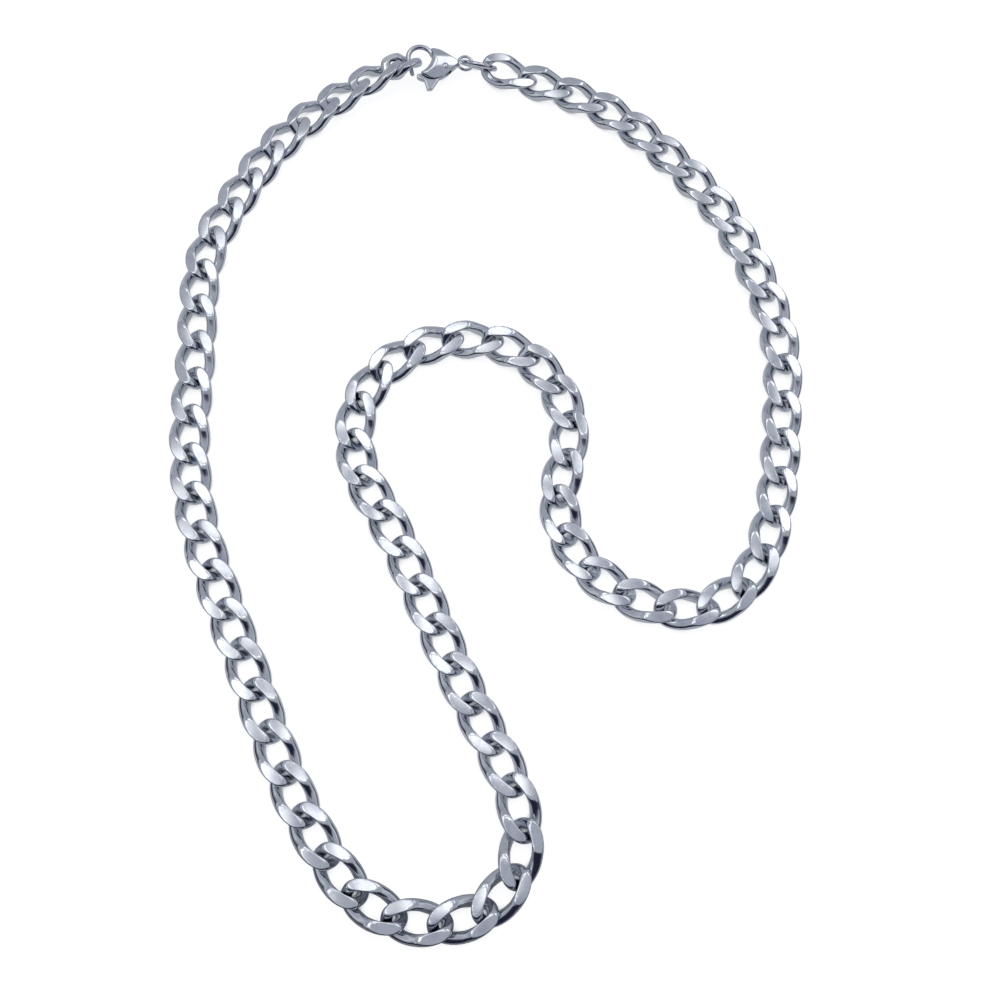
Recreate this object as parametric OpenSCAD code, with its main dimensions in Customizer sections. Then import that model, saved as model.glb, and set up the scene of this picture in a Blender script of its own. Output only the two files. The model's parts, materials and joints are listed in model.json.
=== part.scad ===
// Open curb chain necklace, a closed loop with a lobster clasp and a jump ring,
// laid on a table in the easy S curve in which such a chain is put down.
// Millimetres, +Z up. The origin is on the table, under the middle of the laid necklace.

/* [Links] */
// Outer length of a link
link_l = 11.5; // [11.1:0.1:12.0]
// Outer width of a link
link_w = 7.3; // [7.2:0.1:7.8]
// Width of the wire's band, seen from above
band_w = 1.9; // [1.75:0.05:1.95]
// Thickness of the wire across its band
band_t = 1.5; // [1.2:0.05:1.55]
// Thickness of the chain over its two ground faces
link_h = 2.8; // [2.6:0.05:3.0]
// Turn of each end of a link out of its middle plane, in degrees
link_twist = 45; // [44:1:50]
// Squareness of the oval, where 2 is a plain ellipse
oval = 2.8; // [2.7:0.1:3.0]
// Outer length of the short end link in the clasp's hook
end_link_l = 8.2; // [8.0:0.1:8.6]
// Play along the chain between two linked wires
link_play = 0.3; // [0.25:0.05:0.5]
// Flats round a link
link_sides = 16; // [14:2:16]

/* [Jump ring] */
// Outer diameter of the ring
ring_d = 7.5; // [7.4:0.1:7.8]
// Wire diameter of the ring
ring_wire = 1.0; // [0.9:0.05:1.05]
// Lean of the standing ring, from the table, in degrees
ring_lean = 55; // [53:1:58]

/* [Clasp] */
// Centre of the eye to the middle of the drop's wide end
body_at = 6.4; // [6.2:0.1:6.6]
// Width of the drop
body_w = 6.8; // [6.6:0.1:7.0]
// Thickness of the drop at its wide end
body_t = 2.7; // [2.6:0.1:2.9]
// Outer diameter of the eye
eye_d = 3.5; // [3.4:0.05:3.6]
// Wire diameter of the eye
eye_wire = 0.6; // [0.55:0.05:0.65]
// Wire diameter of the hook
hook_wire = 1.0; // [0.9:0.05:1.05]
// Radius of the hook's bow, along the middle of its wire
hook_r = 2.45; // [2.4:0.05:2.55]
// Thickness of the lever
lever_t = 0.9; // [0.8:0.05:1.0]
// Diameter of the lever's pin
pin_d = 0.8; // [0.7:0.05:0.9]

/* [Hidden] */
steel = "#c3c6d0";
bright_steel = "#d6d9e2";
smooth = 48;

// Least gap between two solids that don't run on each other
gap = 0.15;
// Running play of the lever: on its pin, all round, and beside its cheeks
pin_play = 0.04;
side_play = 0.1;
pin_fit = 0.01;

// The chain's route in the plane, x and y, chosen by hand: the stretch from the second link
// down the right run, over the inner hump, down the middle run and up the left run
route_points = [
    [16.5, 160], [30, 153.5], [41, 143.5], [50, 132], [56, 118.5], [59.5, 104], [58.5, 89],
    [56.5, 74], [52, 60.5], [47, 55], [39.5, 53], [32, 54.5], [20.5, 63], [18, 69.5],
    [18, 76.5], [20.5, 83.5], [16, 97.5], [10.5, 102], [3, 104], [-4.5, 103],
    [-16, 94.5], [-18, 80.5], [-11, 67.5], [-5, 54.5], [1, 41], [8, 27.5], [11, 21],
    [11.5, 13.5], [8.5, 6.5], [2, 3], [-5, 2.5], [-12.5, 5], [-21.5, 15.5], [-28.5, 29],
    [-34, 42.5], [-40, 56.5], [-45, 70.5], [-47, 85], [-47, 99.5], [-47.5, 114],
    [-47, 120.5], [-41.5, 133.5], [-34.5, 145.5], [-23.5, 155.5], [-13.7, 162.4]
];

// Links that lie rolled or raised. ROLL tips the left side up and RISE the leading end, in degrees.
// The first table counts from the jump ring, the second one back from the clasp.
ROLL = 0;
RISE = 1;
ring_end_tilts = [[0, -7]];
clasp_end_tilts = [[-25, 8], [-21, 0], [-14, 0], [-8, 0], [-3, 0]];
// How much closer together than on average the links lie at the clasp, and wider apart at the ring,
// as a share of the spacing
push_up = 0.011;
// Height by which the clasp's hook holds the last link off the table
last_up = 0.4;
// Way the last link points, and the way of the clasp from hook to eye: turn, rise and roll
last_turn = 8;
clasp_turn = 8.5;
clasp_rise = -4.5;
clasp_roll = 8;
// Way the jump ring points, from the eye to the first link, and its shift back through the eye
ring_turn = -12;
ring_slip = 0.1;

function unit(v) = v / norm(v);
function power(v, e) = sign(v) * pow(abs(v), e);
function turned(p, a) = [p.x * cos(a) - p.y * sin(a), p.x * sin(a) + p.y * cos(a)];
// A point rolled about x, raised at its +x end and turned about z
function posed(p, roll, rise, turn) =
    let (
        y = p.y * cos(roll) - p.z * sin(roll),
        z = p.y * sin(roll) + p.z * cos(roll),
        x = p.x * cos(rise) - z * sin(rise),
        up = p.x * sin(rise) + z * cos(rise),
        flat = turned([x, y], turn)
    )
    [flat.x, flat.y, up];

// One link: a band bent round a blunt oval and twisted, so that each side passes over at one end
// and under at the other. What stands above or below the ground faces is cut off flat.
flat_fit = pow(cos(180 / link_sides), 2 / oval);
half_x = (link_l - band_w) / 2;
half_y = (link_w - band_w) / 2;
end_half_x = (end_link_l - band_w) / 2;
pitch = link_l - 2 * band_w - link_play;
band = [[1, 0], [0.5, 1], [-0.5, 1], [-1, 0], [-0.5, -1], [0.5, -1]];
function oval_point(a, reach) =
    [reach * power(cos(a), 2 / oval), half_y * power(sin(a), 2 / oval)] / flat_fit;
function oval_out(a, reach) =
    unit([power(cos(a), 2 - 2 / oval) / reach, power(sin(a), 2 - 2 / oval) / half_y]);
function link_points(reach) = [
    for (i = [0 : link_sides - 1])
        let (
            a = 360 * (i + 0.5) / link_sides,
            c = oval_point(a, reach),
            out = oval_out(a, reach),
            turn = -link_twist * c.x / reach
        )
        for (b = band)
            let (
                p = c + out * b.x * band_w / 2,
                q = turned([p.y, b.y * band_t / 2], turn)
            )
            [p.x, q.x, max(-link_h / 2, min(link_h / 2, q.y))]
];
function link_faces(first) = [
    for (i = [0 : link_sides - 1], k = [0 : len(band) - 1])
        let (
            m = len(band),
            j = (i + 1) % link_sides,
            l = (k + 1) % m,
            p = first + i * m + k,
            q = first + i * m + l,
            r = first + j * m + l,
            s = first + j * m + k
        )
        each [[p, q, r], [p, r, s]]
];
shape = link_points(half_x);
end_shape = link_points(end_half_x);

// The clasp's hook in its own flat frame, with the eye at the origin and the hook towards -x:
// a round bow, then a leg that narrows to the tip just over the lever's gate
bow_in = 1.05;
bow_down = 1.9;
bow_c = [-body_at - body_w / 2 + bow_in, body_w / 2 - bow_down];
bow_root = 5;
bow_end = 188;
gate_up = 1.45;
gate_top = -body_w / 2 + gate_up;
tip_over_gate = 0.386;
leg_way = [cos(bow_end + 90), sin(bow_end + 90)];
leg_at = bow_c + hook_r * [cos(bow_end), sin(bow_end)];
leg_l = (leg_at.y - gate_top - tip_over_gate) / -leg_way.y;
leg_sunk = 0.2;
leg_d = hook_wire - 0.1;
tip_d = hook_wire - 0.16;
hook_tip = leg_at + leg_l * leg_way;
// Place on the leg where the last link hangs
hang_y = 0.4;
hang_at = leg_at + (hang_y - leg_at.y) / leg_way.y * leg_way;

// The last link stands on the end of the route, and the clasp's hook passes through its front end
function low(points) = min([for (p = points) p.z]);
last_roll = clasp_end_tilts[0][ROLL];
last_rise = clasp_end_tilts[0][RISE];
last_shape = [for (p = end_shape) posed(p, last_roll, last_rise, last_turn)];
last_reach = (end_half_x - (band_w + link_play) / 2) * cos(last_rise);
last_joint = route_points[len(route_points) - 1];
last_centre = concat(last_joint + turned([last_reach, 0], last_turn), last_up - low(last_shape));
hook_reach = end_half_x - (band_w + leg_d) / 2 - gap;
hook_seat = last_centre + posed([hook_reach, 0, 0], 0, last_rise, last_turn);
function on_clasp_way(p) = posed(p, clasp_roll, clasp_rise, clasp_turn);
clasp_origin = hook_seat - on_clasp_way(concat(hang_at, 0));

// The jump ring stands on the table, through the eye and the first link
ring_r = (ring_d - ring_wire) / 2;
ring_z = ring_r * sin(ring_lean) + ring_wire / 2;
ring_way = turned([1, 0], ring_turn);
ring_drop = (ring_z - clasp_origin.z) / sin(ring_lean);
ring_half = sqrt(pow(ring_r, 2) - pow(ring_drop, 2));
ring_side = turned([0, ring_drop * cos(ring_lean)], ring_turn);
eye_spot = [clasp_origin.x, clasp_origin.y];
ring_centre = concat(eye_spot + ring_way * (ring_half - ring_slip) - ring_side, ring_z);
first_joint = eye_spot
    + ring_way * (2 * ring_half - ring_slip - (ring_wire + band_w) / 2 - gap + half_x - pitch / 2);

// The route as a smooth curve through its points, from the ring's joint to the last link's
route = concat([first_joint], route_points);
steps = 10;
function slope(i) =
    i == 0 ? unit(route[1] - route[0])
    : i == len(route) - 1 ? unit(route[i] - route[i - 1])
    : let (a = norm(route[i] - route[i - 1]), b = norm(route[i + 1] - route[i]))
        ((route[i] - route[i - 1]) * b / a + (route[i + 1] - route[i]) * a / b) / (a + b);
function along(i, t) =
    let (d = norm(route[i + 1] - route[i]))
    route[i] * (2 * pow(t, 3) - 3 * pow(t, 2) + 1) + slope(i) * d * (pow(t, 3) - 2 * pow(t, 2) + t)
    + route[i + 1] * (3 * pow(t, 2) - 2 * pow(t, 3)) + slope(i + 1) * d * (pow(t, 3) - pow(t, 2));
curve = [
    for (i = [0 : len(route) - 2], k = [0 : steps - 1]) along(i, k / steps),
    route[len(route) - 1]
];
function step(i) = i < len(curve) ? norm(curve[i] - curve[i - 1]) : 0;
lengths = [for (i = 0, s = 0; i < len(curve); i = i + 1, s = s + step(i)) s];
route_length = lengths[len(lengths) - 1];
x_at = [for (i = [0 : len(curve) - 1]) [lengths[i], curve[i].x]];
y_at = [for (i = [0 : len(curve) - 1]) [lengths[i], curve[i].y]];
links = round(route_length / pitch) + 1;
function joint(i) =
    let (
        u = i / (links - 1),
        s = route_length * (u + push_up * u * (1 - u))
    )
    [lookup(s, x_at), lookup(s, y_at)];

// Link number i, counted from the ring, in its place on the table
function tilt(i) =
    i < len(ring_end_tilts) ? ring_end_tilts[i]
    : i >= links - len(clasp_end_tilts) ? clasp_end_tilts[links - 1 - i]
    : [0, 0];
function placed(i) =
    i == links - 1 ? [for (p = last_shape) p + last_centre]
    : let (
        a = joint(i),
        b = joint(i + 1),
        centre = (a + b) / 2,
        turn = atan2(b.y - a.y, b.x - a.x),
        points = [for (p = shape) posed(p, tilt(i)[ROLL], tilt(i)[RISE], turn)],
        lift = -low(points)
    )
    [for (p = points) p + [centre.x, centre.y, lift]];
all_points = [for (i = [0 : links - 1]) each placed(i)];
bow_top = clasp_origin + on_clasp_way([bow_c.x, bow_c.y + hook_r + hook_wire / 2, 0]);
low_x = min([for (p = all_points) p.x]);
high_x = max([for (p = all_points) p.x]);
low_y = min([for (p = all_points) p.y]);
high_y = max(bow_top.y, max([for (p = all_points) p.y]));
middle = [(low_x + high_x) / 2, (low_y + high_y) / 2, 0];

// Links from one number up to another, as loose closed bands in one polyhedron
module chain(first, last) {
    count = last - first + 1;
    points = [for (i = [first : last]) each placed(i)];
    faces = [for (k = [0 : count - 1]) each link_faces(k * len(shape))];
    translate(-middle) polyhedron(points = points, faces = faces, convexity = 10);
}

half_way = floor(links / 2);

module curb_chain_right() {
    color(steel) chain(0, half_way - 1);
}

module curb_chain_left() {
    color(steel) chain(half_way, links - 1);
}

module torus(r, wire, from = 0, angle = 360) {
    rotate([0, 0, from]) rotate_extrude(angle = angle, $fn = smooth)
        translate([r, 0]) circle(d = wire, $fn = smooth);
}

module jump_ring() {
    color(steel) translate(ring_centre - middle)
        rotate([0, 0, ring_turn]) rotate([-ring_lean, 0, 0]) torus(ring_r, ring_wire);
}

module on_clasp() {
    translate(clasp_origin - middle)
        rotate([0, 0, clasp_turn]) rotate([0, -clasp_rise, 0]) rotate([clasp_roll, 0, 0]) children();
}

// Drop of the clasp: a wide round end and a narrow neck with their common tangents
neck_r = 0.6;
neck_at = eye_d / 2 + neck_r / 4;
module drop() {
    hull() {
        translate([-body_at, 0]) circle(d = body_w, $fn = smooth);
        translate([-neck_at, 0]) circle(r = neck_r, $fn = smooth);
    }
}

// The drop's upper face is part of a wide cylinder that falls towards the eye, and so is its lower one
dome_r = 7.5;
dome_fall = 7;
module dome(side) {
    translate([-body_at, 0, side * (body_t / 2 - dome_r)]) rotate([0, 90 + side * dome_fall, 0])
        rotate([0, 0, 90]) cylinder(r = dome_r, h = 4 * body_at, center = true, $fn = smooth);
}

// Throat that the drop is cut back to, a shallow hollow towards the hook
throat_r = 4.95;
throat_in = 0.05;
throat_down = 0.8;
throat_c = [-body_at - throat_r + throat_in, body_w / 2 - throat_down];
// The lever turns on its pin inside the drop and runs out along its lower edge to the hook's tip.
// Its outer edge is the belly, an arc that bulges past the drop.
pin_in = [2.2, 2.5];
pin_at = [-body_at, -body_w / 2] + pin_in;
boss_r = 1.0;
belly_shift = [-1.2, 0.3];
belly_out = 0.55;
belly_c = [-body_at, 0] + belly_shift;
belly_r = body_w / 2 + belly_out;
gate_reach = norm(hook_tip - pin_at) - leg_d / 2 - gap;
gate_round = 0.5;
slot_slant = 6;
tab_w = 2.9;
tab_tip_w = 1.0;
tab_right = -body_at + 0.7;
tab_l = 2.1;
tab_lean = 1.4;
tab_tip = [-body_at - tab_lean, -body_w / 2 - tab_l];

// Slot in the drop for the lever's boss and for its arm from shut to open
module lever_slot() {
    translate([0, 0, -lever_t / 2 - side_play]) linear_extrude(lever_t + 2 * side_play) {
        translate(pin_at) circle(r = boss_r + gap, $fn = smooth);
        polygon([
            pin_at + (boss_r + gap) * [sin(slot_slant), cos(slot_slant)],
            pin_at + (boss_r + gap) * [sin(slot_slant), cos(slot_slant)]
                + body_w * [-cos(slot_slant), sin(slot_slant)],
            pin_at - [body_w, body_w],
            pin_at - [-boss_r - gap, body_w],
            pin_at + [boss_r + gap, 0]
        ]);
    }
}

module clasp_body() {
    color(bright_steel) on_clasp() {
        difference() {
            intersection() {
                linear_extrude(body_t + 1, center = true) drop();
                dome(1);
                dome(-1);
            }
            translate([throat_c.x, throat_c.y, -body_t])
                cylinder(r = throat_r, h = 2 * body_t, $fn = smooth);
            lever_slot();
            translate([pin_at.x, pin_at.y, -body_t])
                cylinder(d = pin_d + 2 * pin_fit, h = 2 * body_t, $fn = smooth);
            cylinder(d = eye_d - eye_wire, h = 2 * body_t, center = true, $fn = smooth);
        }
        torus((eye_d - eye_wire) / 2, eye_wire);
        translate(bow_c) torus(hook_r, hook_wire, bow_root, bow_end - bow_root);
        translate(leg_at) rotate([0, 0, bow_end + 90]) rotate([0, 90, 0]) translate([0, 0, -leg_sunk])
            cylinder(d1 = leg_d, d2 = tip_d, h = leg_l + leg_sunk, $fn = smooth);
        translate(hook_tip) sphere(d = tip_d - 0.04, $fn = smooth);
    }
}

// Lever in its own plane: a boss on the pin, an arm along the drop's lower edge that ends in the
// gate beside the hook's tip, and the thumb tab outside
module lever_shape() {
    translate(pin_at) circle(r = boss_r, $fn = smooth);
    offset(r = gate_round, $fn = smooth) offset(delta = -gate_round) intersection() {
        union() {
            drop();
            translate(belly_c) circle(r = belly_r, $fn = smooth);
        }
        translate(pin_at) circle(r = gate_reach, $fn = smooth);
        polygon([
            [-2 * body_at, gate_top], [-body_at - 1, gate_top], pin_at + [0, boss_r],
            pin_at - [0, body_w], [-2 * body_at, -body_w]
        ]);
    }
    polygon([
        [tab_right, -body_w / 2],
        [tab_right - tab_w, -body_w / 2],
        tab_tip - [tab_tip_w / 2, 0],
        tab_tip + [tab_tip_w / 2, 0]
    ]);
}

module clasp_lever() {
    color(steel) on_clasp() difference() {
        translate([0, 0, -lever_t / 2]) linear_extrude(lever_t) lever_shape();
        translate([pin_at.x, pin_at.y, -lever_t])
            cylinder(d = pin_d + 2 * pin_play, h = 2 * lever_t, $fn = smooth);
    }
}

module clasp_pin() {
    color(steel) on_clasp() translate([pin_at.x, pin_at.y, 0])
        cylinder(d = pin_d, h = body_t - 0.4, center = true, $fn = smooth);
}

curb_chain_right();
curb_chain_left();
jump_ring();
clasp_body();
clasp_lever();
clasp_pin();
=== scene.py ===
"""Looks of a curb chain necklace: its links, jump ring and lobster clasp in polished steel, and the
stage that it lies on. Lengths are in metres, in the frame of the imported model: +Z is up, and the
origin is on the table under the middle of the laid necklace."""

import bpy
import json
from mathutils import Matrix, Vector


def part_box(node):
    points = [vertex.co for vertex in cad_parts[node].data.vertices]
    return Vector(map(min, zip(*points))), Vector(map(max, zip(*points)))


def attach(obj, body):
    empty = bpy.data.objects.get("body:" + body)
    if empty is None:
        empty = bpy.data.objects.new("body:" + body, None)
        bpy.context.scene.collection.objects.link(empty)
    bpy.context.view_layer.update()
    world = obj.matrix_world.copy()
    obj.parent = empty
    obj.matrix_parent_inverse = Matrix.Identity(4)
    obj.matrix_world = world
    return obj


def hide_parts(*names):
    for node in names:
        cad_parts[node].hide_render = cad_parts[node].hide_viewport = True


bl_info = {
    "name": "Curb Chain Necklace",
    "version": (1, 0, 0),
    "blender": (4, 5, 0),
    "location": "3D View > Sidebar > Necklace",
    "description": "Makes the links, clasp and jump ring of a curb chain necklace round its solid model",
    "category": "Object",
}

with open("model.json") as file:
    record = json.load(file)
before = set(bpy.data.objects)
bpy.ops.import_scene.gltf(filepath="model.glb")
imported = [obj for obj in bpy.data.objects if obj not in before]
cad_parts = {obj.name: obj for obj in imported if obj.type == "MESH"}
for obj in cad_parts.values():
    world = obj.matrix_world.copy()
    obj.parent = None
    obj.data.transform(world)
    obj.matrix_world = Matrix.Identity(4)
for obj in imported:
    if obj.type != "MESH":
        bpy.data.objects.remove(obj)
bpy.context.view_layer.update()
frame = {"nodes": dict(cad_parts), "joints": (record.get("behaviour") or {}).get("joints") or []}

import json
import math

import bmesh
import bpy
import numpy as np
from bpy.props import FloatProperty, FloatVectorProperty, IntProperty, PointerProperty
from mathutils import Matrix, Vector

MM = 0.001

# The chain's route in the plane of the table, x and y: the stretch from the second link down the
# right run, over the inner hump, down the middle run and up the left run
ROUTE_POINTS = [
    (0.0165, 0.160), (0.030, 0.1535), (0.041, 0.1435), (0.050, 0.132), (0.056, 0.1185),
    (0.0595, 0.104), (0.0585, 0.089), (0.0565, 0.074), (0.052, 0.0605), (0.047, 0.055),
    (0.0395, 0.053), (0.032, 0.0545), (0.0205, 0.063), (0.018, 0.0695), (0.018, 0.0765),
    (0.0205, 0.0835), (0.016, 0.0975), (0.0105, 0.102), (0.003, 0.104), (-0.0045, 0.103),
    (-0.016, 0.0945), (-0.018, 0.0805), (-0.011, 0.0675), (-0.005, 0.0545), (0.001, 0.041),
    (0.008, 0.0275), (0.011, 0.021), (0.0115, 0.0135), (0.0085, 0.0065), (0.002, 0.003),
    (-0.005, 0.0025), (-0.0125, 0.005), (-0.0215, 0.0155), (-0.0285, 0.029), (-0.034, 0.0425),
    (-0.040, 0.0565), (-0.045, 0.0705), (-0.047, 0.085), (-0.047, 0.0995), (-0.0475, 0.114),
    (-0.047, 0.1205), (-0.0415, 0.1335), (-0.0345, 0.1455), (-0.0235, 0.1555), (-0.0137, 0.1624),
]
# Place in the route's plane that lies on the origin
ROUTE_MIDDLE = Vector((0.00598, 0.0832))
# Steps of the smooth curve from one of the route's points to the next
STEPS_PER_SPAN = 10
# How far the links halfway along are pushed on towards the clasp, as a share of a quarter of the route
PUSH_UP = 0.011

# Roll of the left side and rise of the leading end of the links that don't lie flat, in degrees:
# those from the jump ring on, and those from the clasp back
RING_END_TILTS = [(0, -7)]
CLASP_END_TILTS = [(-25, 8), (-21, 0), (-14, 0), (-8, 0), (-3, 0)]
# Most that any other link lies off level by its own play, in degrees, and how fast that changes from
# link to link, in radians
LINK_ROLL, LINK_RISE = 1.4, 0.8
ROLL_BEAT, RISE_BEAT = 2.4, 1.7
# Turn of the end link about the vertical, in degrees, and its height over the table
LAST_TURN = 8
LAST_UP = 0.4 * MM
# Least gap between two pieces
GAP = 0.15 * MM

# Turn of the jump ring about the vertical, and place of its seam round from its far end, in degrees
RING_TURN = -12
SEAM_AT = 250

# Turn of the clasp about the vertical, rise of its eye's end and roll, in degrees
CLASP_TURN, CLASP_RISE, CLASP_ROLL = 8.5, -4.5, 8
# Places in the clasp's own flat frame, which has its eye at the origin and its hook towards -x: its
# pin, and how far the throat's hollow is moved in towards the drop and down from the drop's side
PIN_AT = Vector((-4.2, -0.9, 0)) * MM
THROAT_IN, THROAT_DOWN = 0.05 * MM, 0.8 * MM
# How far outside the drop's outline its extra rounding still works, and the height of a rivet head
DROP_EDGE = 0.5 * MM
HEAD_RISE = 0.22 * MM
# Where the hook's leg starts to be drawn out to its tip, and the length over which it does
TIP_FROM = (-9.9 * MM, -0.5 * MM)
TIP_SPAN = 1.3 * MM


def length_of(words, default):
    """A property that holds a length."""
    return FloatProperty(
        name=words, description=words, default=default, min=0, unit="LENGTH", precision=5)


def angle_of(words, degrees):
    """A property that holds an angle."""
    return FloatProperty(name=words, description=words, default=math.radians(degrees), subtype="ANGLE")


def share_of(words, default):
    """A property that holds a share, from 0 to 1."""
    return FloatProperty(name=words, description=words, default=default, min=0, max=1)


def count_of(words, default, least=0):
    """A property that holds a whole number."""
    return IntProperty(name=words, description=words, default=default, min=least)


def colour_of(words, default):
    """A property that holds a colour."""
    return FloatVectorProperty(
        name=words, description=words, default=default, size=3, min=0, max=1, subtype="COLOR")


class NecklaceLinkSizes(bpy.types.PropertyGroup):
    """Sizes of the chain's links."""
    length: length_of("Outer length of a link", 11.5 * MM)
    width: length_of("Outer width of a link", 7.15 * MM)
    band_w: length_of("Width of the wire's band, seen from above", 1.9 * MM)
    end_w: length_of("Width of the band in the bends at the link's ends", 1.9 * MM)
    band_t: length_of("Thickness of the wire across its band", 2.15 * MM)
    end_t: length_of("Thickness of the wire in the bends at the link's ends", 1.45 * MM)
    height: length_of("Thickness of the chain over its two ground faces", 2.8 * MM)
    twist: angle_of("Turn of each end of a link out of its middle plane", 45)
    oval: FloatProperty(
        name="Squareness of the oval", description="2 is a plain ellipse", default=2.7, min=2, max=4)
    end_length: length_of("Outer length of the short end link", 8.2 * MM)
    play: length_of("Play along the chain between two linked wires", 0.3 * MM)
    edge: length_of("Height over which a ground face rounds off into the wire", 0.28 * MM)
    crown: length_of("Fall of the ground faces from the link's middle to its ends", 0.2 * MM)
    crown_across: length_of("Fall of the ground faces from the link's middle to its sides", 0.15 * MM)
    rings: count_of("Steps round a link", 80, 16)
    sides: count_of("Sides of the wire", 24, 8)


class NecklaceRingSizes(bpy.types.PropertyGroup):
    """Sizes of the jump ring."""
    diameter: length_of("Outer diameter of the ring", 7.5 * MM)
    wire: length_of("Wire diameter of the ring", 1.0 * MM)
    lean: angle_of("Lean of the standing ring, from the table", 55)
    seam: length_of("Width of the closed cut in the ring", 0.04 * MM)
    rings: count_of("Steps round the ring", 96, 16)
    sides: count_of("Sides of the ring's wire", 24, 8)


class NecklaceClaspSizes(bpy.types.PropertyGroup):
    """Sizes of what is modelled finer on the clasp."""
    cast_grain: length_of("Fineness of the cast surfaces", 0.06 * MM)
    cast_rounding: count_of("Smoothing steps of the cast edges", 8)
    drop_rounding: count_of("More smoothing steps of the drop", 14)
    drop_at: length_of("Middle of the drop's wide end to the middle of the eye", 6.4 * MM)
    drop_w: length_of("Width of the drop", 6.8 * MM)
    drop_t: length_of("Thickness of the drop", 2.7 * MM)
    neck_at: length_of("Middle of the neck's rounding to the middle of the eye", 1.9 * MM)
    neck_r: length_of("Radius of the neck's rounding", 0.6 * MM)
    throat_r: length_of("Radius of the throat's hollow", 4.95 * MM)
    shoulder: length_of("Width over which the drop rounds off to its rim", 1.7 * MM)
    rim: length_of("Thickness of the drop at its rim", 1.5 * MM)
    tip_reach: length_of("Length by which the hook's tip is drawn out beside the gate", 0.3 * MM)
    pin_d: length_of("Diameter of the lever's pin", 0.8 * MM)
    head_d: length_of("Diameter of the pin's rivet heads", 1.15 * MM)
    pin_l: length_of("Length of the pin over its two rivet heads", 2.4 * MM)
    head_rings: count_of("Steps from the middle of a rivet head to its rim", 6, 2)
    head_sides: count_of("Sides of the rivet", 32, 8)


class NecklaceStageSizes(bpy.types.PropertyGroup):
    """Sizes of the table and place of the camera."""
    lens: FloatProperty(
        name="Focal length", description="Focal length in millimetres", default=45, min=1)
    height: length_of("Height of the camera over the table", 206.7 * MM)
    depression: angle_of("Angle by which the camera looks down", 70.4)
    roll: angle_of("Roll of the camera", 6.45)
    turn: angle_of("Turn of the camera about the vertical", -6.08)
    table: length_of("Width of the table", 4.0)


class NecklaceLooks(bpy.types.PropertyGroup):
    """Colours and finish of the steel and the stage."""
    steel: colour_of("Colour of the links", (0.745, 0.78, 0.815))
    clasp: colour_of("Colour of the clasp", (0.70, 0.74, 0.76))
    dull_steel: colour_of("Colour of duller patches of the steel", (0.60, 0.63, 0.71))
    roughness: share_of("Roughness of the polished steel", 0.11)
    floor: colour_of("Colour of the table", (0.35, 0.35, 0.355))
    backdrop: colour_of("Colour of the room behind the table", (0.98, 0.98, 0.985))


def looks():
    """The colours and finish that are set."""
    return bpy.context.scene.necklace_looks


def new_object(name, data):
    """An object in the scene that shows this data."""
    made = bpy.data.objects.new(name, data)
    bpy.context.scene.collection.objects.link(made)
    return made


def mesh_of(form, name):
    """A mesh with the form's faces. The form is used up."""
    mesh = bpy.data.meshes.new(name)
    form.to_mesh(mesh)
    form.free()
    return mesh


def smooth(mesh):
    """Shades all faces smoothly."""
    mesh.polygons.foreach_set("use_smooth", [True] * len(mesh.polygons))


def bridge(form, here, ahead):
    """Faces between two loops with as many points."""
    for k in range(len(here)):
        after = (k + 1) % len(here)
        form.faces.new((here[k], ahead[k], ahead[after], here[after]))


class Wiring:
    """Adds nodes to one node tree in short calls."""

    def __init__(self, tree):
        self.nodes, self.links = tree.nodes, tree.links

    def put(self, socket, value):
        """Feeds a socket from another one, or sets its number or colour."""
        if isinstance(value, bpy.types.NodeSocket):
            self.links.new(value, socket)
        elif isinstance(value, (int, float)):
            socket.default_value = value
        else:
            socket.default_value = (*value, 1)

    def calc(self, operation, *values):
        """The result of one operation on one or two values."""
        node = self.nodes.new("ShaderNodeMath")
        node.operation = operation
        for socket, value in zip(node.inputs, values):
            self.put(socket, value)
        return node.outputs[0]

    def step(self, value, start, end):
        """A soft step from 0 at the start to 1 at the end."""
        node = self.nodes.new("ShaderNodeMapRange")
        node.interpolation_type = "SMOOTHSTEP"
        self.put(node.inputs["Value"], value)
        if start > end:
            start, end = end, start
            node.inputs["To Min"].default_value, node.inputs["To Max"].default_value = 1, 0
        node.inputs["From Min"].default_value, node.inputs["From Max"].default_value = start, end
        return node.outputs["Result"]

    def blend(self, share, a, b):
        """Colour a where the share is 0, and b where it is 1."""
        node = self.nodes.new("ShaderNodeMix")
        node.data_type = "RGBA"
        self.put(node.inputs["Factor"], share)
        self.put(node.inputs["A"], a)
        self.put(node.inputs["B"], b)
        return node.outputs["Result"]

    def noise(self, place, scale, detail):
        """Soft noise, from 0 to 1."""
        node = self.nodes.new("ShaderNodeTexNoise")
        node.inputs["Scale"].default_value = scale
        node.inputs["Detail"].default_value = detail
        self.put(node.inputs["Vector"], place)
        return node.outputs["Fac"]

    def parts(self, vector):
        """The x, y and z of a vector."""
        node = self.nodes.new("ShaderNodeSeparateXYZ")
        self.put(node.inputs["Vector"], vector)
        return node.outputs

    def bump(self, height, strength, distance, under=None):
        """A normal that a relief tilts, on top of the one under it."""
        node = self.nodes.new("ShaderNodeBump")
        node.inputs["Strength"].default_value = strength
        node.inputs["Distance"].default_value = distance
        self.put(node.inputs["Height"], height)
        if under:
            self.put(node.inputs["Normal"], under)
        return node.outputs["Normal"]

    def openness(self, reach):
        """1 in the open and 0 deep in a nook, by what lies within reach."""
        node = self.nodes.new("ShaderNodeAmbientOcclusion")
        node.samples = NOOK_SAMPLES
        node.inputs["Distance"].default_value = reach
        return node.outputs["AO"]

    def seen(self):
        """1 for what the eye sees straight on, and 0 for what only lights or mirrors."""
        return self.nodes.new("ShaderNodeLightPath").outputs["Is Camera Ray"]


# Rays that tell how open a place is
NOOK_SAMPLES = 6
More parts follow.
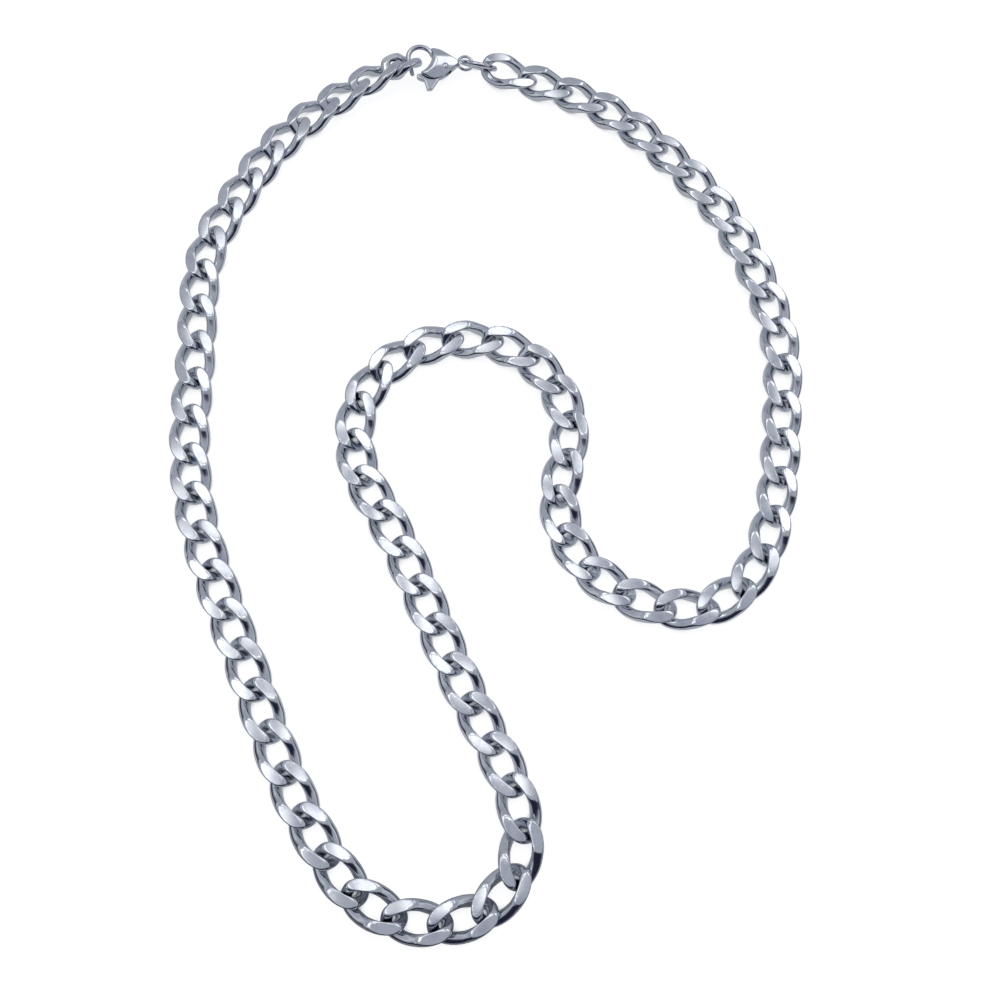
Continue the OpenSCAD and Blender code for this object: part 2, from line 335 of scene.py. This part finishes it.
# Painted shade in the steel's nooks, which also darkens the wire low down next to the table: how far
# round a place counts as its nook, how open it is where the painted shade is full and where it starts,
# and its tone
NOOK_REACH = 1.0 * MM
NOOK_FULL, NOOK_FROM = 0.08, 0.50
NOOK_PAINTED_SHADE = (0.07, 0.075, 0.11)
# Duller patches of the steel: how many to a metre, and the noise where they start and are full
PATCHES = 420
PATCH_FROM, PATCH_FULL = 0.42, 0.75
# Hairlines of the polish: how many to a metre, their direction in degrees, how much closer they are
# along each axis, the noise where they start and are full, how rough the steel is outside and inside
# them, as shares of its roughness, and their strength and height as a relief
HAIRS = 900
HAIR_TURN = 37
HAIR_STRETCH = (1, 22, 6)
HAIR_FROM, HAIR_FULL = 0.35, 0.75
HAIR_LEAST, HAIR_MOST = 0.8, 1.6
HAIR_STRENGTH, HAIR_HEIGHT = 0.10, 0.004 * MM
# Waviness of the polish: how many waves to a metre, and their strength and height as a relief
WAVES = 650
WAVE_STRENGTH, WAVE_HEIGHT = 0.15, 0.02 * MM


def steel(name, colour, dull, roughness):
    """Polished steel: a slightly uneven tone, with painted shade in nooks and low down by the table,
    fine hairlines and a faint waviness of the polish."""
    made = bpy.data.materials.new(name)
    made.use_nodes = True
    wire = Wiring(made.node_tree)
    shader = wire.nodes["Principled BSDF"]
    shader.inputs["Metallic"].default_value = 1.0
    place = wire.nodes.new("ShaderNodeTexCoord").outputs["Object"]
    tone = wire.noise(place, PATCHES, detail=4)
    colour = wire.blend(wire.step(tone, PATCH_FROM, PATCH_FULL), colour, dull)
    # Painted shade: the base colour goes dark where other wires or the table hem the steel in
    nook = wire.step(wire.openness(NOOK_REACH), NOOK_FROM, NOOK_FULL)
    wire.put(shader.inputs["Base Color"], wire.blend(nook, colour, NOOK_PAINTED_SHADE))

    stretch = wire.nodes.new("ShaderNodeMapping")
    stretch.inputs["Rotation"].default_value = (0, 0, math.radians(HAIR_TURN))
    stretch.inputs["Scale"].default_value = HAIR_STRETCH
    wire.put(stretch.inputs["Vector"], place)
    hairs = wire.noise(stretch.outputs["Vector"], HAIRS, detail=6)
    rough = wire.nodes.new("ShaderNodeMapRange")
    rough.inputs["From Min"].default_value = HAIR_FROM
    rough.inputs["From Max"].default_value = HAIR_FULL
    rough.inputs["To Min"].default_value = roughness * HAIR_LEAST
    rough.inputs["To Max"].default_value = roughness * HAIR_MOST
    wire.put(rough.inputs["Value"], hairs)
    wire.put(shader.inputs["Roughness"], rough.outputs["Result"])

    waves = wire.noise(place, WAVES, detail=2)
    normal = wire.bump(waves, WAVE_STRENGTH, WAVE_HEIGHT)
    wire.put(shader.inputs["Normal"], wire.bump(hairs, HAIR_STRENGTH, HAIR_HEIGHT, normal))
    return made


def unit(v):
    """Vectors of length 1."""
    return v / np.linalg.norm(v, axis=-1, keepdims=True)


def power(v, e):
    """A power that keeps the sign."""
    return np.sign(v) * np.abs(v) ** e


# How square the wire is, where 1 is round, and how early along the link its twist comes, where 1 is
# evenly
WIRE_SQUARENESS = 0.8
TWIST_EASE = 0.8
# Points nearer than this to a cut count as on it
CUT_REACH = 1e-7


def wire_points(sizes, length):
    """Points of a link's wire: a little flattened, bent round a blunt oval and twisted, so that each
    side passes over at one end and under at the other."""
    reach = (length - sizes.band_w) / 2
    half_y = (sizes.width - sizes.band_w) / 2
    a = np.linspace(0, 2 * math.pi, sizes.rings, endpoint=False)[:, None]
    b = np.linspace(0, 2 * math.pi, sizes.sides, endpoint=False)[None, :]
    cx = reach * power(np.cos(a), 2 / sizes.oval)
    cy = half_y * power(np.sin(a), 2 / sizes.oval)
    ease = 2 - 2 / sizes.oval
    out = unit(np.stack([power(np.cos(a), ease) / reach, power(np.sin(a), ease) / half_y], -1))
    bend = (cx / reach) ** 2
    wider = (sizes.end_w - sizes.band_w) * bend
    thinner = (sizes.band_t - sizes.end_t) * bend
    across = power(np.cos(b), WIRE_SQUARENESS) * (sizes.band_w + wider) / 2 - wider / 2
    thick = power(np.sin(b), WIRE_SQUARENESS) * (sizes.band_t - thinner) / 2
    turn = -sizes.twist * power(cx / reach, TWIST_EASE)
    x = cx + out[..., 0] * across
    flat_y = cy + out[..., 1] * across
    y = flat_y * np.cos(turn) - thick * np.sin(turn)
    z = flat_y * np.sin(turn) + thick * np.cos(turn)
    return np.stack([x, y, z], -1)


def ground(z, sizes):
    """Height of a point of the wire once both faces of the link are ground flat: where the wire meets
    the ground face steeply it leaves a crisp edge, and where it comes up slowly a soft one."""
    over = abs(z) - sizes.height / 2
    if over <= -sizes.edge:
        return z
    if over >= sizes.edge:
        return math.copysign(sizes.height / 2, z)
    return math.copysign(abs(z) - (over + sizes.edge) ** 2 / (4 * sizes.edge), z)


def link_mesh(sizes, length):
    """One link: its twisted wire, ground on both faces and slightly crowned."""
    form = bmesh.new()
    loops = [[form.verts.new(point) for point in loop] for loop in wire_points(sizes, length)]
    for here, ahead in zip(loops, loops[1:] + loops[:1]):
        bridge(form, here, ahead)
    bmesh.ops.recalc_face_normals(form, faces=form.faces[:])
    for side in (1, -1):
        for step in (-1, 0, 1):
            bmesh.ops.bisect_plane(
                form, geom=form.verts[:] + form.edges[:] + form.faces[:], dist=CUT_REACH,
                plane_co=(0, 0, side * (sizes.height / 2 + step * sizes.edge)), plane_no=(0, 0, side))
    for vert in form.verts:
        fall = (sizes.crown * (vert.co.x / length * 2) ** 2
                + sizes.crown_across * (vert.co.y / sizes.width * 2) ** 2)
        vert.co.z = ground(vert.co.z, sizes) * (1 - fall / (sizes.height / 2))
    mesh = mesh_of(form, "link")
    smooth(mesh)
    return mesh


def tilted(roll, rise, turn):
    """Turns that roll a piece about x, raise its +x end and turn it about z, all in degrees."""
    return (Matrix.Rotation(math.radians(turn), 4, "Z")
            @ Matrix.Rotation(math.radians(-rise), 4, "Y")
            @ Matrix.Rotation(math.radians(roll), 4, "X"))


def lowest(mesh, pose):
    """Height of a mesh's lowest point at a pose."""
    return min((pose @ v.co).z for v in mesh.vertices)


def clasp_pose():
    """Place of the clasp's own frame, from the lever's hinge."""
    hinge = Vector(frame["joints"][0]["pos_m"])
    turns = tilted(CLASP_ROLL, CLASP_RISE, CLASP_TURN)
    return Matrix.Translation(hinge - turns @ PIN_AT) @ turns


def middle_of(node):
    """Middle of the box of a solid."""
    low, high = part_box(node)
    return (low + high) / 2


def pitch_of(links):
    """Length of chain that each link adds."""
    return links.length - 2 * links.band_w - links.play


def first_joint(links, ring):
    """Place in the route's plane where the first link's pitch starts, from the ring that it hangs in."""
    eye = clasp_pose().translation
    radius = (ring.diameter - ring.wire) / 2
    rise = radius * math.sin(ring.lean) + ring.wire / 2 - eye.z
    half = math.sqrt(radius ** 2 - (rise / math.sin(ring.lean)) ** 2)
    side = rise / math.tan(ring.lean)
    reach = (half - (ring.wire + links.band_w) / 2 - GAP
             + (links.length - links.band_w) / 2 - pitch_of(links) / 2)
    centre = middle_of("jump_ring")
    turns = Matrix.Rotation(math.radians(RING_TURN), 2)
    return Vector(centre[:2]) + turns @ Vector((reach, side)) + ROUTE_MIDDLE


def route_curve(points):
    """The smooth curve through the route's points, and the length along it at each of its steps."""
    route = np.array(points)
    spans = np.linalg.norm(np.diff(route, axis=0), axis=1)
    slopes = [unit(route[1] - route[0])]
    for i in range(1, len(route) - 1):
        a, b = spans[i - 1], spans[i]
        slopes.append(((route[i] - route[i - 1]) * b / a + (route[i + 1] - route[i]) * a / b) / (a + b))
    slopes.append(unit(route[-1] - route[-2]))
    curve = []
    for i, d in enumerate(spans):
        for t in np.arange(STEPS_PER_SPAN) / STEPS_PER_SPAN:
            curve.append(route[i] * (2 * t ** 3 - 3 * t ** 2 + 1)
                         + slopes[i] * d * (t ** 3 - 2 * t ** 2 + t)
                         + route[i + 1] * (3 * t ** 2 - 2 * t ** 3)
                         + slopes[i + 1] * d * (t ** 3 - t ** 2))
    curve.append(route[-1])
    curve = np.array(curve)
    lengths = np.concatenate([[0], np.cumsum(np.linalg.norm(np.diff(curve, axis=0), axis=1))])
    return curve, lengths


def tilts_of(i, back):
    """Roll and rise of the link that is the i-th from the jump ring and the back-th from the clasp."""
    if i < len(RING_END_TILTS):
        return RING_END_TILTS[i]
    if back < len(CLASP_END_TILTS):
        return CLASP_END_TILTS[back]
    return LINK_ROLL * math.sin(ROLL_BEAT * i), LINK_RISE * math.sin(RISE_BEAT * i)


def link_poses(links, ring, mesh, end_mesh):
    """The mesh and the place of every link, counted from the jump ring to the clasp."""
    curve, lengths = route_curve([first_joint(links, ring), *ROUTE_POINTS])
    count = round(lengths[-1] / pitch_of(links)) + 1
    u = np.arange(count) / (count - 1)
    s = lengths[-1] * (u + PUSH_UP * u * (1 - u))
    joints = np.stack([np.interp(s, lengths, curve[:, 0]), np.interp(s, lengths, curve[:, 1])], -1)
    placed = []
    for i in range(count - 1):
        a, b = joints[i], joints[i + 1]
        roll, rise = tilts_of(i, count - 1 - i)
        turns = tilted(roll, rise, math.degrees(math.atan2(b[1] - a[1], b[0] - a[0])))
        centre = Vector((a + b) / 2) - ROUTE_MIDDLE
        placed.append((mesh, Matrix.Translation((*centre, -lowest(mesh, turns))) @ turns))
    roll, rise = CLASP_END_TILTS[0]
    turns = tilted(roll, rise, LAST_TURN)
    hang = (links.end_length - links.band_w) / 2 - (links.band_w + links.play) / 2
    reach = hang * math.cos(math.radians(rise))
    ahead = Matrix.Rotation(math.radians(LAST_TURN), 2) @ Vector((reach, 0))
    centre = Vector(joints[-1]) + ahead - ROUTE_MIDDLE
    placed.append((end_mesh, Matrix.Translation((*centre, LAST_UP - lowest(end_mesh, turns))) @ turns))
    return placed


def joined(name, placed):
    """One piece from meshes and their places."""
    form = bmesh.new()
    for mesh, pose in placed:
        one = mesh.copy()
        one.transform(pose)
        form.from_mesh(one)
        bpy.data.meshes.remove(one)
    return new_object(name, mesh_of(form, name))


def dress(piece, material, body, node):
    """Gives a piece its material, hangs it on the body that it moves with, and hides the solid that it
    stands for.
    """
    piece.data.materials.clear()
    piece.data.materials.append(material)
    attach(piece, body)
    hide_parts(node)


class NECKLACE_OT_links(bpy.types.Operator):
    """Lay the chain's links along their route"""
    bl_idname = "necklace.links"
    bl_label = "Links"

    def execute(self, context):
        scene = context.scene
        sizes = scene.necklace_links
        mesh = link_mesh(sizes, sizes.length)
        end_mesh = link_mesh(sizes, sizes.end_length)
        placed = link_poses(sizes, scene.necklace_ring, mesh, end_mesh)
        half_way = len(placed) // 2
        finish = steel("link_steel", looks().steel, looks().dull_steel, looks().roughness)
        right = joined("links_right", placed[:half_way])
        left = joined("links_left", placed[half_way:])
        dress(right, finish, "necklace", "curb_chain_right")
        dress(left, finish, "necklace", "curb_chain_left")
        return {"FINISHED"}


def ring_mesh(sizes):
    """A ring of round wire, open by its seam."""
    radius = (sizes.diameter - sizes.wire) / 2
    slit = sizes.seam / radius / 2
    form = bmesh.new()
    loops = []
    for a in np.linspace(slit, 2 * math.pi - slit, sizes.rings):
        loop = []
        for b in np.arange(sizes.sides) * 2 * math.pi / sizes.sides:
            r, z = radius + sizes.wire / 2 * math.cos(b), sizes.wire / 2 * math.sin(b)
            loop.append(form.verts.new((r * math.cos(a), r * math.sin(a), z)))
        loops.append(loop)
    for here, ahead in zip(loops, loops[1:]):
        bridge(form, here, ahead)
    for end in (loops[0], loops[-1]):
        cut = form.faces.new(end)
        for edge in cut.edges:
            edge.smooth = False
    bmesh.ops.recalc_face_normals(form, faces=form.faces[:])
    mesh = mesh_of(form, "ring")
    smooth(mesh)
    return mesh


class NECKLACE_OT_ring(bpy.types.Operator):
    """Stand the jump ring in the clasp's eye and the first link"""
    bl_idname = "necklace.ring"
    bl_label = "Jump ring"

    def execute(self, context):
        sizes = context.scene.necklace_ring
        mesh = ring_mesh(sizes)
        turn = Matrix.Rotation(math.radians(RING_TURN), 4, "Z")
        lean = Matrix.Rotation(-sizes.lean, 4, "X")
        seam = Matrix.Rotation(math.radians(SEAM_AT), 4, "Z")
        mesh.transform(Matrix.Translation(middle_of("jump_ring")) @ turn @ lean @ seam)
        finish = steel("ring_steel", looks().steel, looks().dull_steel, looks().roughness)
        dress(new_object("ring", mesh), finish, "necklace", "jump_ring")
        return {"FINISHED"}


def remade(name, mesh, grain):
    """A mesh's form again, in a fine even grain."""
    rough = new_object(name + "_rough", mesh)
    remesh = rough.modifiers.new("grain", "REMESH")
    remesh.mode = "VOXEL"
    remesh.voxel_size = grain
    bpy.context.view_layer.update()
    found = rough.evaluated_get(bpy.context.evaluated_depsgraph_get())
    fine = bpy.data.meshes.new_from_object(found)
    bpy.data.objects.remove(rough)
    bpy.data.meshes.remove(mesh)
    fine.name = name
    return fine


# How far one smoothing step moves a point towards the middle of its neighbours
SMOOTH_STEP = 0.5


def soften(mesh, steps, within=None):
    """Rounds a mesh's edges, or only those whose points pass the test."""
    form = bmesh.new()
    form.from_mesh(mesh)
    verts = [v for v in form.verts if within is None or within(v.co)]
    for _ in range(steps):
        bmesh.ops.smooth_vert(
            form, verts=verts, factor=SMOOTH_STEP, use_axis_x=True, use_axis_y=True, use_axis_z=True)
    form.to_mesh(mesh)
    form.free()
    smooth(mesh)


def drop_depth(x, y, sizes):
    """How far a place of the clasp's flat frame lies inside the drop's outline and its throat."""
    span = sizes.drop_at - sizes.neck_at
    taper = (sizes.drop_w / 2 - sizes.neck_r) / span
    square = math.sqrt(1 - taper ** 2)
    side, along = np.abs(y), x + sizes.drop_at
    reach = along * square - side * taper
    inside = np.where(
        reach < 0, sizes.drop_w / 2 - np.hypot(side, along),
        np.where(reach > square * span, sizes.neck_r - np.hypot(side, along - span),
                 sizes.drop_w / 2 - side * square - along * taper))
    throat_x, throat_y = -sizes.drop_at - sizes.throat_r + THROAT_IN, sizes.drop_w / 2 - THROAT_DOWN
    return np.minimum(inside, np.hypot(x - throat_x, y - throat_y) - sizes.throat_r)


def puff(mesh, sizes):
    """Rounds the drop off to its rim, as a cast drop swells towards its middle, and draws the hook's
    tip out beside the gate."""
    pose = clasp_pose()
    mesh.transform(pose.inverted())
    points = np.empty(len(mesh.vertices) * 3)
    mesh.vertices.foreach_get("co", points)
    x, y, z = points.reshape(-1, 3).T
    share = np.clip(drop_depth(x, y, sizes) / sizes.shoulder, 0, 1)
    top = sizes.rim / 2 + (sizes.drop_t - sizes.rim) / 2 * np.sqrt(1 - (1 - share) ** 2)
    down = np.clip((TIP_FROM[1] - y) / TIP_SPAN, 0, 1) * (x < TIP_FROM[0])
    puffed = np.stack([x, y - sizes.tip_reach * down, np.clip(z, -top, top)], -1)
    mesh.vertices.foreach_set("co", puffed.ravel())
    mesh.transform(pose)


def rivet_mesh(sizes):
    """The lever's pin with a low domed head at each end."""
    half = sizes.pin_l / 2
    dome = [(sizes.head_d / 2 * math.sin(a), half - HEAD_RISE * (1 - math.cos(a)))
            for a in np.linspace(0, math.pi / 2, sizes.head_rings + 1)[1:]]
    dome.append((sizes.pin_d / 2, half - HEAD_RISE))
    outline = dome + [(r, -z) for r, z in reversed(dome)]
    round_turn = np.arange(sizes.head_sides) * 2 * math.pi / sizes.head_sides
    form = bmesh.new()
    loops = [[form.verts.new((r * math.cos(a), r * math.sin(a), z)) for a in round_turn]
             for r, z in outline]
    for upper, lower in zip(loops, loops[1:]):
        bridge(form, upper, lower)
    for loop, z in ((loops[0], half), (loops[-1], -half)):
        tip = form.verts.new((0, 0, z))
        for k in range(len(loop)):
            form.faces.new((loop[k], loop[(k + 1) % len(loop)], tip))
    bmesh.ops.recalc_face_normals(form, faces=form.faces[:])
    mesh = mesh_of(form, "clasp_rivet")
    smooth(mesh)
    return mesh


class NECKLACE_OT_clasp(bpy.types.Operator):
    """Cast the clasp's body and lever and rivet them together"""
    bl_idname = "necklace.clasp"
    bl_label = "Clasp"

    def execute(self, context):
        sizes = context.scene.necklace_clasp
        finish = steel("clasp_steel", looks().clasp, looks().dull_steel, looks().roughness)
        pose = clasp_pose()
        flat = pose.inverted()

        def on_drop(place):
            at = flat @ place
            return drop_depth(at.x, at.y, sizes) > -DROP_EDGE

        body = remade("clasp_drop", frame["nodes"]["clasp_body"].data.copy(), sizes.cast_grain)
        puff(body, sizes)
        body = remade("clasp_drop", body, sizes.cast_grain)
        soften(body, sizes.cast_rounding)
        soften(body, sizes.drop_rounding, on_drop)
        dress(new_object("clasp_drop", body), finish, "necklace", "clasp_body")
        lever = remade("clasp_thumb_lever", frame["nodes"]["clasp_lever"].data.copy(), sizes.cast_grain)
        soften(lever, sizes.cast_rounding + sizes.drop_rounding)
        dress(new_object("clasp_thumb_lever", lever), finish, "lever", "clasp_lever")
        rivet = rivet_mesh(sizes)
        rivet.transform(pose @ Matrix.Translation(PIN_AT))
        dress(new_object("clasp_rivet", rivet), finish, "necklace", "clasp_pin")
        return {"FINISHED"}


# Width of the camera's sensor in millimetres, and how near it still sees
SENSOR_WIDTH = 36
NEAR_CLIP = 5 * MM


def camera(stage):
    """The camera at the photograph's place, over the route's own origin."""
    data = bpy.data.cameras.new("camera")
    data.lens = stage.lens
    data.sensor_width = SENSOR_WIDTH
    data.clip_start = NEAR_CLIP
    eye = new_object("camera", data)
    turns = (Matrix.Rotation(stage.turn, 4, "Z")
             @ Matrix.Rotation(math.pi / 2 - stage.depression, 4, "X")
             @ Matrix.Rotation(stage.roll, 4, "Z"))
    eye.matrix_world = Matrix.Translation((-ROUTE_MIDDLE.x, -ROUTE_MIDDLE.y, stage.height)) @ turns
    bpy.context.scene.camera = eye


# How far the table lies under the chain, the parts along its sides, and its roughness
TABLE_DROP = 0.02 * MM
TABLE_PARTS = 8
TABLE_ROUGHNESS = 0.9
# Light of the table itself: as it is seen, and as the steel mirrors it, dimmed there to a painted shade
# that stands for the chain's shadow on the table
SEEN_TABLE = (0.88, 0.88, 0.88)
MIRRORED_TABLE_SHADE = (0.34, 0.345, 0.37)
# Reach of the shade in the slits between two links' wires, how open a place is where it is full and
# where it ends, and its tone
SHADE_REACH = 1.8 * MM
SHADE_FULL, SHADE_FROM = 0.16, 0.46
SHADED_TABLE = (0.06, 0.07, 0.12)
# Painted dark reflection: a darker strip of the table's mirrored glow at the viewer's side, where it
# starts and is full, and its tone
NEAR_FROM, NEAR_TO = -0.055, -0.080
MIRRORED_NEAR_PAINTED_DARK = (0.05, 0.052, 0.065)


def table_top(stage, colour):
    """The plain pale table, which glows a little so that it stays even, with painted shade in the slits
    under the links and a dimmer painted-shade glow where the steel mirrors it.
    """
    form = bmesh.new()
    bmesh.ops.create_grid(form, x_segments=TABLE_PARTS, y_segments=TABLE_PARTS, size=stage.table / 2)
    mesh = mesh_of(form, "table")
    top = new_object("table", mesh)
    top.location.z = -TABLE_DROP
    paint = bpy.data.materials.new("table_paint")
    paint.use_nodes = True
    wire = Wiring(paint.node_tree)
    shader = wire.nodes["Principled BSDF"]
    shader.inputs["Roughness"].default_value = TABLE_ROUGHNESS
    shader.inputs["Base Color"].default_value = (*colour, 1)
    shader.inputs["Emission Strength"].default_value = 1.0
    _, y, _ = wire.parts(wire.nodes.new("ShaderNodeTexCoord").outputs["Object"])
    # Painted shade and painted dark reflection: the glow that only the steel mirrors is dimmed, and
    # darker still towards the viewer
    painted_mirror_shade = wire.blend(wire.step(y, NEAR_FROM, NEAR_TO), MIRRORED_TABLE_SHADE, MIRRORED_NEAR_PAINTED_DARK)
    # Painted shade on the table's glow in the slits between the links' wires
    in_the_open = wire.step(wire.openness(SHADE_REACH), SHADE_FULL, SHADE_FROM)
    bare = wire.blend(in_the_open, SHADED_TABLE, SEEN_TABLE)
    wire.put(shader.inputs["Emission Color"], wire.blend(wire.seen(), painted_mirror_shade, bare))
    mesh.materials.append(paint)


# Height of each tone on the room's dome, as the sine of its elevation, and the tone
ROOM_TONES = [
    (0.00, (0.020, 0.022, 0.040)),
    (0.24, (0.030, 0.033, 0.055)),
    (0.36, (0.26, 0.27, 0.31)),
    (0.47, (0.68, 0.70, 0.74)),
    (0.60, (0.42, 0.435, 0.49)),
    (0.75, (0.42, 0.43, 0.49)),
    (1.00, (0.43, 0.44, 0.51)),
]
# Soft panels in the ceiling: the middle and the half size of each, as the slope at which it is seen
# from the table, and how soft its edge is. Then their tone, and the least height at which they show,
# as the sine of an elevation
PANELS = [
    ((-0.09, 0.54), (0.14, 0.16), 0.10),
    ((0.43, 0.66), (0.15, 0.34), 0.10),
    ((-0.36, 0.05), (0.14, 0.20), 0.10),
    ((0.00, 0.16), (0.10, 0.09), 0.06),
]
PANEL_TONE = (1.5, 1.5, 1.52)
PANEL_LEAST_HEIGHT = 0.05
# The unlit front of the room, towards the viewer, as the share of a direction that points there
FRONT_FROM, FRONT_TO = 0.38, 0.62
FRONT_TONE = (0.018, 0.019, 0.04)
# The pale back of the room, in the same way
BACK_FROM, BACK_TO = 0.55, 0.80
BACK_TONE = (0.40, 0.41, 0.47)


def room_light():
    """A pale room with soft panels in its ceiling, dark low down and towards the viewer, which draws
    the dark lines in the steel."""
    world = bpy.data.worlds.new("room")
    bpy.context.scene.world = world
    world.use_nodes = True
    wire = Wiring(world.node_tree)
    x, y, z = wire.parts(wire.nodes.new("ShaderNodeTexCoord").outputs["Generated"])
    ramp = wire.nodes.new("ShaderNodeValToRGB")
    stops = ramp.color_ramp.elements
    stops[0].position, stops[0].color = ROOM_TONES[0][0], (*ROOM_TONES[0][1], 1)
    stops[1].position, stops[1].color = ROOM_TONES[-1][0], (*ROOM_TONES[-1][1], 1)
    for height, colour in ROOM_TONES[1:-1]:
        stops.new(height).color = (*colour, 1)
    wire.put(ramp.inputs["Fac"], z)
    colour = ramp.outputs["Color"]
    colour = wire.blend(wire.step(y, BACK_FROM, BACK_TO), colour, BACK_TONE)
    colour = wire.blend(wire.step(y, -FRONT_FROM, -FRONT_TO), colour, FRONT_TONE)
    over = wire.calc("MAXIMUM", z, PANEL_LEAST_HEIGHT)
    u, v = wire.calc("DIVIDE", x, over), wire.calc("DIVIDE", y, over)
    for (mid_u, mid_v), (half_u, half_v), soft in PANELS:
        off_u = wire.calc("ABSOLUTE", wire.calc("SUBTRACT", u, mid_u))
        off_v = wire.calc("ABSOLUTE", wire.calc("SUBTRACT", v, mid_v))
        inside = wire.calc(
            "MULTIPLY", wire.step(off_u, half_u + soft, half_u - soft / 2),
            wire.step(off_v, half_v + soft, half_v - soft / 2))
        colour = wire.blend(inside, colour, PANEL_TONE)
    colour = wire.blend(wire.seen(), colour, looks().backdrop)
    wire.put(wire.nodes["Background"].inputs["Color"], colour)


class NECKLACE_OT_stage(bpy.types.Operator):
    """Set the table, the soft light and the camera"""
    bl_idname = "necklace.stage"
    bl_label = "Stage"

    def execute(self, context):
        stage = context.scene.necklace_stage
        camera(stage)
        table_top(stage, looks().floor)
        room_light()
        context.scene.view_settings.view_transform = "Standard"
        return {"FINISHED"}


class NECKLACE_PT_panel(bpy.types.Panel):
    """The necklace's pieces"""
    bl_label = "Curb chain necklace"
    bl_idname = "NECKLACE_PT_panel"
    bl_space_type = "VIEW_3D"
    bl_region_type = "UI"
    bl_category = "Necklace"

    def draw(self, context):
        for operator in OPERATORS:
            self.layout.operator(operator.bl_idname)
        for group in GROUPS:
            box = self.layout.box()
            owner = getattr(context.scene, group)
            for key in owner.bl_rna.properties.keys():
                if key not in ("rna_type", "name"):
                    box.prop(owner, key)


GROUPS = {
    "necklace_links": NecklaceLinkSizes,
    "necklace_ring": NecklaceRingSizes,
    "necklace_clasp": NecklaceClaspSizes,
    "necklace_stage": NecklaceStageSizes,
    "necklace_looks": NecklaceLooks,
}
OPERATORS = (NECKLACE_OT_links, NECKLACE_OT_ring, NECKLACE_OT_clasp, NECKLACE_OT_stage)
CLASSES = (*GROUPS.values(), *OPERATORS, NECKLACE_PT_panel)


def register():
    for cls in CLASSES:
        bpy.utils.register_class(cls)
    for name, group in GROUPS.items():
        setattr(bpy.types.Scene, name, PointerProperty(type=group))


def unregister():
    for name in GROUPS:
        delattr(bpy.types.Scene, name)
    for cls in reversed(CLASSES):
        bpy.utils.unregister_class(cls)


def main():
    register()
    bpy.ops.necklace.links()
    bpy.ops.necklace.ring()
    bpy.ops.necklace.clasp()
    bpy.ops.necklace.stage()


if __name__ == "__main__":
    main()
